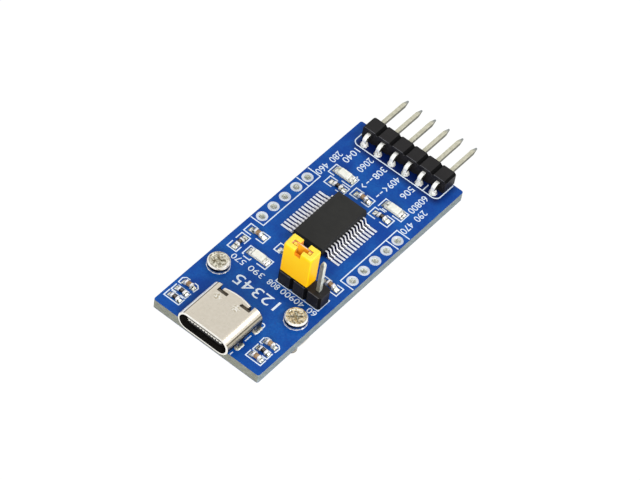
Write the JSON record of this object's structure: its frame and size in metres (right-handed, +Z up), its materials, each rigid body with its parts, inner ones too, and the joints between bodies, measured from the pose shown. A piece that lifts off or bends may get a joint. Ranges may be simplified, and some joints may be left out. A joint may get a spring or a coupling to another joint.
{
  "type": "usb to serial adapter module",
  "caption": "Small circuit board that turns a USB-C port into serial signals on a right-angle pin header, with a voltage jumper, status lights and mounting screws.",
  "frame": {"origin": "bottom centre of the bounding box: in the plane of the two screw ends, midway between the mouth of the USB-C receptacle and the tips of the header pins, on the middle of the board", "axes": "+Z up out of the component side of the board, +Y from the USB-C receptacle to the pin header, +X across the board, with the jumper on the +X side"},
  "size_m": [0.019, 0.0536, 0.0151],
  "materials": {
    "board": "glass-fibre laminate with a satin blue mask",
    "tinned_copper": "tinned copper, satin",
    "tinned_lead": "tin plated, satin",
    "solder": "bright solder",
    "chip_plastic": "moulded epoxy, fine matt texture",
    "black_plastic": "moulded nylon, satin black",
    "yellow_plastic": "moulded, semi-gloss yellow",
    "nickel_steel": "nickel plated steel, satin",
    "pin_metal": "plated brass, pale, satin",
    "clip_metal": "plated bronze",
    "gold_contact": "gold plated",
    "brown_ceramic": "fired ceramic, matt brown",
    "dark_film": "dark glaze",
    "led_base": "white laminate",
    "led_lens": "milky clear resin"
  },
  "bodies": {
    "adapter": {"capacitor_chip": "brown_ceramic", "capacitor_left_corner": "brown_ceramic", "capacitor_left_supply": "brown_ceramic", "capacitor_middle_supply": "brown_ceramic", "capacitor_right_corner": "brown_ceramic", "capacitor_right_lower": "brown_ceramic", "capacitor_right_supply": "brown_ceramic", "capacitor_terminals": "tinned_lead", "chip_body": "chip_plastic", "chip_leads": "tinned_lead", "circuit_board": "board", "component_solder": "solder", "led_terminals": "tinned_lead", "left_led_base": "led_base", "left_led_lens": "led_lens", "nut_left": "nickel_steel", "nut_right": "nickel_steel", "pin_header_body": "black_plastic", "pin_header_pins": "pin_metal", "pin_header_solder": "solder", "power_led_base": "led_base", "power_led_lens": "led_lens", "resistor_left_led": "dark_film", "resistor_left_lower": "dark_film", "resistor_left_upper": "dark_film", "resistor_power_led": "dark_film", "resistor_right_corner": "dark_film", "resistor_right_led": "dark_film", "resistor_terminals": "tinned_lead", "right_led_base": "led_base", "right_led_lens": "led_lens", "screw_left": "nickel_steel", "screw_right": "nickel_steel", "selector_body": "black_plastic", "selector_pins": "pin_metal", "selector_solder": "solder", "side_hole_plating": "tinned_copper", "surface_pads": "tinned_copper", "usb_contacts": "gold_contact", "usb_insulator": "black_plastic", "usb_mid_plate": "nickel_steel", "usb_shell": "nickel_steel", "usb_solder": "solder"},
    "jumper": {"jumper_cap": "yellow_plastic", "jumper_contact": "clip_metal"}
  },
  "joints": [
    {"name": "jumper_lift", "type": "slide", "parent": "adapter", "child": "jumper", "axis": [0, 0, 1], "range_m": [0, 0.0065]}
  ]
}
